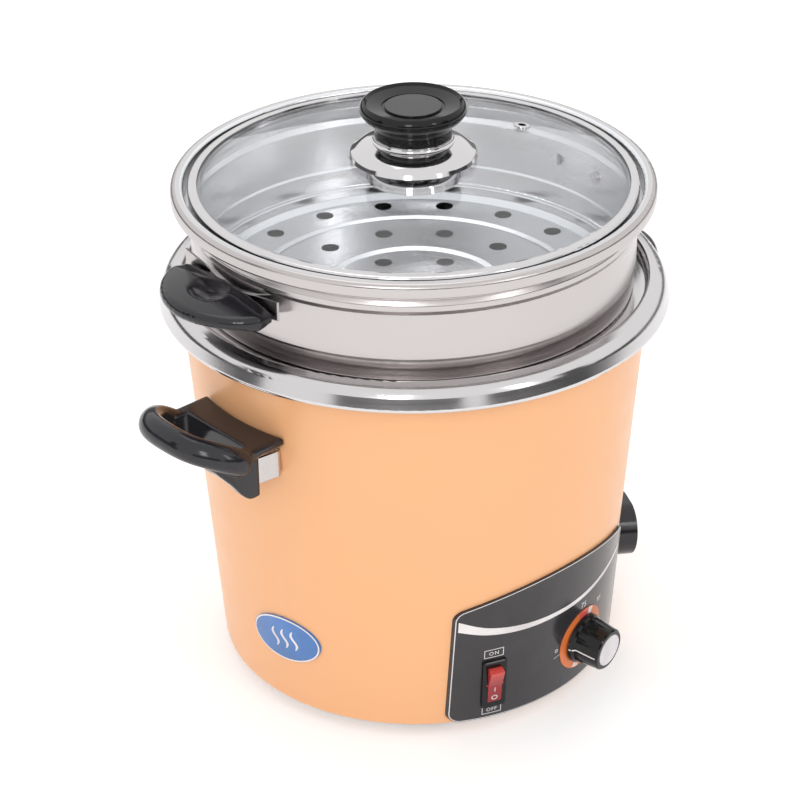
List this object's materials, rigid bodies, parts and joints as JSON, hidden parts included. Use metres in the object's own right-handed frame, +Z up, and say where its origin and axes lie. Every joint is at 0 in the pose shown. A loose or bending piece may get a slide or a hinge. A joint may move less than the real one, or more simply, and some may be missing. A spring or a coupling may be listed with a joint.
{
  "type": "electric food steamer",
  "caption": "Electric pot with a lift-off perforated steamer basket and glass lid, side handles, rocker switch, thermostat knob and power inlet.",
  "frame": {"origin": "on the table, under the pot's axis, midway between the feet", "axes": "+Z up along the pot's axis, -Y towards the control panel, handles along X"},
  "size_m": [0.3752, 0.292, 0.3468],
  "materials": {
    "casing_paint": "satin peach enamel",
    "polished_steel": "mirror polished",
    "satin_steel": "satin, spun",
    "plain_steel": "zinc plated",
    "black_bakelite": "semi-gloss moulded",
    "gloss_black": "glossy",
    "panel_black": "glossy dark grey film",
    "red_lens": "translucent red",
    "dial_print": "printed orange ring",
    "badge_blue": "blue enamel with a silver edge",
    "cap_silver": "silver-white",
    "rubber_foot": "matte",
    "lid_glass": "clear tempered",
    "silicone": "matte",
    "cast_aluminium": "cast",
    "brass_pin": "plated"
  },
  "bodies": {
    "base": {"casing_shell": "casing_paint", "inner_pot": "polished_steel", "bottom_plate": "plain_steel", "feet": "rubber_foot", "foot_brackets": "plain_steel", "foot_screws": "plain_steel", "control_panel": "panel_black", "switch_body": "gloss_black", "switch_blades": "brass_pin", "thermostat_body": "plain_steel", "thermostat_screws": "plain_steel", "dial_plate": "dial_print", "power_inlet": "black_bakelite", "inlet_pins": "brass_pin", "badge": "badge_blue", "handle_strap_left": "polished_steel", "handle_strap_right": "polished_steel", "handle_grip_left": "black_bakelite", "handle_grip_right": "black_bakelite", "handle_screws": "plain_steel", "heating_plate": "cast_aluminium", "heating_element": "plain_steel", "heat_shield": "plain_steel", "clamp_stud": "plain_steel", "clamp_nut": "plain_steel"},
    "steamer": {"steamer_basket": "satin_steel", "basket_strap_left": "satin_steel", "basket_strap_right": "satin_steel", "basket_grip_left": "black_bakelite", "basket_grip_right": "black_bakelite", "basket_handle_screws": "polished_steel"},
    "lid": {"lid_glass": "lid_glass", "lid_band": "polished_steel", "lid_disc": "polished_steel", "knob_collar": "polished_steel", "lid_knob": "gloss_black", "knob_insert": "black_bakelite", "lid_gaskets": "silicone", "lid_under_cup": "polished_steel", "lid_screw": "plain_steel", "vent_eyelet": "polished_steel"},
    "rocker": {"switch_rocker": "red_lens"},
    "knob": {"thermostat_knob": "gloss_black", "knob_cap": "cap_silver", "thermostat_shaft": "plain_steel"}
  },
  "joints": [
    {"name": "steamer_lift", "type": "slide", "parent": "base", "child": "steamer", "axis": [0, 0, 1], "range_m": [0, 0.15]},
    {"name": "lid_lift", "type": "slide", "parent": "steamer", "child": "lid", "axis": [0, 0, 1], "range_m": [0, 0.12]},
    {"name": "power_rocker", "type": "hinge", "parent": "base", "child": "rocker", "pos_m": [-0.04567, -0.11361, 0.0351], "axis": [-0.9278, 0.373, 0], "range_deg": [0, 19.4]},
    {"name": "thermostat_turn", "type": "hinge", "parent": "base", "child": "knob", "pos_m": [0.01959, -0.11833, 0.0392], "axis": [-0.1629, 0.984, 0.0716], "range_deg": [0, 280]}
  ]
}
